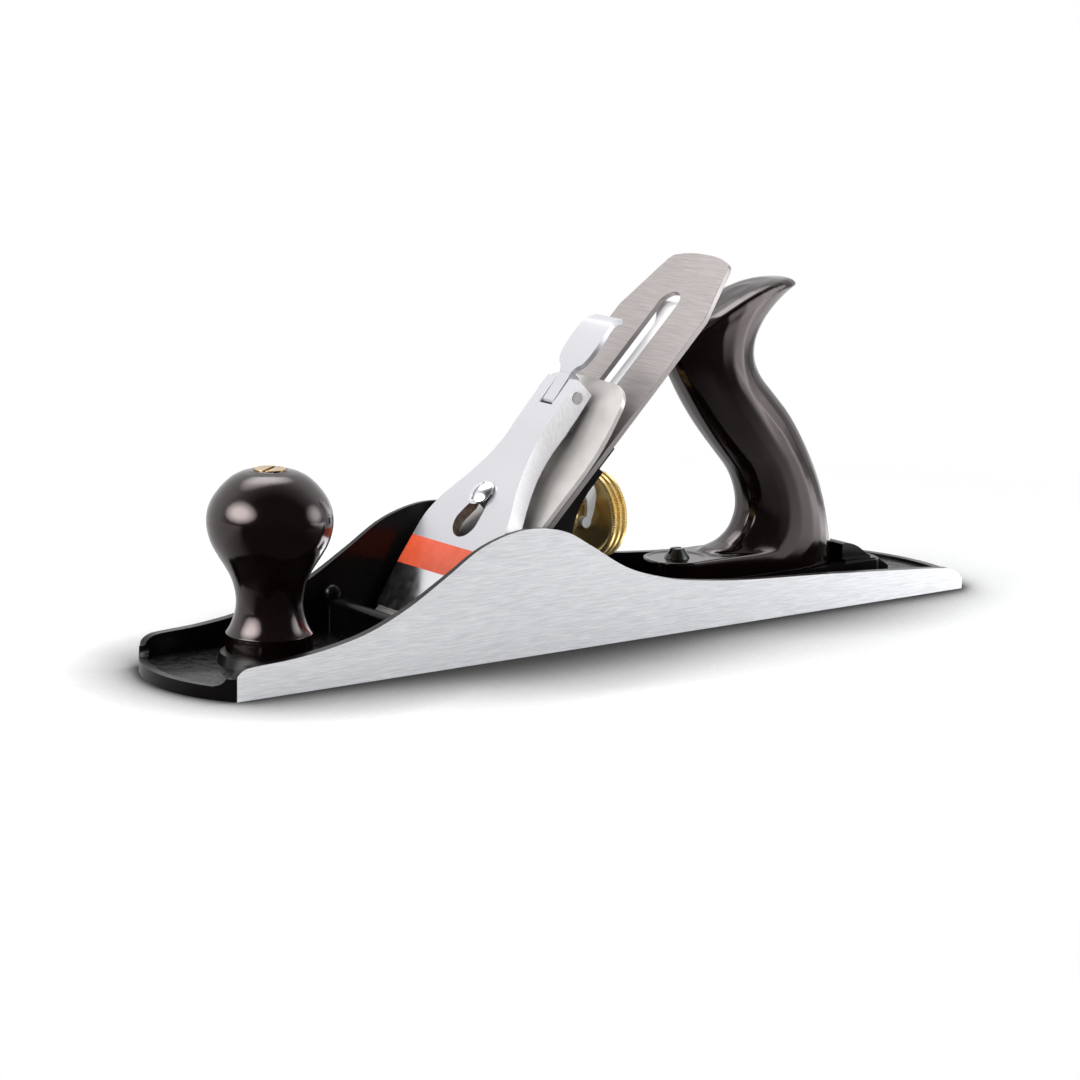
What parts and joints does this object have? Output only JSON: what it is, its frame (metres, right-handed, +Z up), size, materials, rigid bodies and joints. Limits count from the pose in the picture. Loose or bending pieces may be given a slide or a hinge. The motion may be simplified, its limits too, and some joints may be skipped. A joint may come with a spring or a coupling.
{
  "type": "jack plane",
  "caption": "Bench plane with an adjustable bevel-down iron on a sliding frog, a cam-locked lever cap, a round front knob and a closed rear grip.",
  "frame": {"origin": "middle of the sole's underside", "axes": "+X along the sole to the heel, +Y across to the cheek away from the camera, +Z up"},
  "size_m": [0.355, 0.0636, 0.1352],
  "materials": {
    "enamel": "gloss black enamel, ground bare on the cheeks and the sole",
    "steel": "ground and brushed",
    "steel_dark": "machined",
    "warm_steel": "satin, with a warm cast",
    "nickel": "bright nickel plate, satin on the flat face",
    "zinc": "bright zinc plate",
    "brass": "polished",
    "knob_lacquer": "very dark brown, high gloss",
    "black_steel": "blackened, gloss"
  },
  "bodies": {
    "body": {"body_casting": "enamel", "front_knob": "knob_lacquer", "knob_bolt": "steel_dark", "knob_nut": "brass", "tote": "knob_lacquer", "tote_bolt": "steel_dark", "tote_nut": "brass", "tote_toe_screw": "black_steel", "frog_screws": "steel_dark", "frog_screw_washers": "steel_dark"},
    "frog": {"frog": "enamel", "frog_clip": "steel_dark", "frog_clip_screw": "steel_dark", "yoke_pin": "steel_dark", "lateral_rivet": "steel_dark"},
    "frog_adjuster": {"frog_adjusting_screw": "steel_dark"},
    "stud": {"depth_stud": "brass"},
    "wheel": {"depth_wheel": "brass"},
    "yoke": {"yoke_lever": "zinc"},
    "cap_screw": {"lever_cap_screw": "nickel"},
    "iron": {"cutting_iron": "steel", "cap_iron": "warm_steel", "cap_iron_screw": "steel_dark"},
    "lateral": {"lateral_lever": "zinc", "lateral_roller": "steel_dark"},
    "lever_cap": {"lever_cap": "nickel", "lever_cap_spring": "steel", "spring_rivet": "nickel", "cam_pin": "nickel"},
    "cam": {"lever_cap_cam": "nickel"}
  },
  "joints": [
    {"name": "frog_slide", "type": "slide", "parent": "body", "child": "frog", "axis": [1, 0, 0], "range_m": [-0.001, 0.001]},
    {"name": "frog_screw_spin", "type": "hinge", "parent": "frog", "child": "frog_adjuster", "pos_m": [-0.016, 0, 0.0092], "axis": [1, 0, 0], "range_deg": [-361, 361]},
    {"name": "wheel_travel", "type": "slide", "parent": "frog", "child": "stud", "axis": [1, 0, 0], "range_m": [-0.00256, 0.00103]},
    {"name": "wheel_spin", "type": "hinge", "parent": "stud", "child": "wheel", "pos_m": [0.01, 0, 0.0412], "axis": [1, 0, 0], "range_deg": [-290, 725]},
    {"name": "yoke_swing", "type": "hinge", "parent": "frog", "child": "yoke", "pos_m": [-0.00448, 0, 0.0536], "axis": [0, 1, 0], "range_deg": [-4.4, 11]},
    {"name": "iron_skew", "type": "hinge", "parent": "frog", "child": "cap_screw", "pos_m": [-0.03043, 0, 0.04207], "axis": [-0.7071, 0, 0.7071], "range_deg": [-1.08, 1.08]},
    {"name": "iron_feed", "type": "slide", "parent": "cap_screw", "child": "iron", "axis": [0.7071, 0, 0.7071], "range_m": [-0.001, 0.0025]},
    {"name": "lateral_swing", "type": "hinge", "parent": "frog", "child": "lateral", "pos_m": [-0.00391, 0, 0.06859], "axis": [-0.7071, 0, 0.7071], "range_deg": [-4.5, 4.5]},
    {"name": "lever_cap_release", "type": "slide", "parent": "frog", "child": "lever_cap", "axis": [0.6428, 0, 0.766], "range_m": [0, 0.0113], "deforming": ["lever_cap_spring"]},
    {"name": "cam_swing", "type": "hinge", "parent": "lever_cap", "child": "cam", "pos_m": [-0.00646, 0, 0.08726], "axis": [0, -1, 0], "range_deg": [0, 90]}
  ],
  "couplings": [
    {"joint": "frog_screw_spin", "follows": "frog_slide", "rad_per_m": 6283.2},
    {"joint": "wheel_spin", "follows": "iron_feed", "rad_per_m": 4984.6},
    {"joint": "wheel_travel", "follows": "iron_feed", "ratio": -1.0075},
    {"joint": "yoke_swing", "follows": "iron_feed", "rad_per_m": 75.188},
    {"joint": "iron_skew", "follows": "lateral_swing", "ratio": -0.2376}
  ]
}
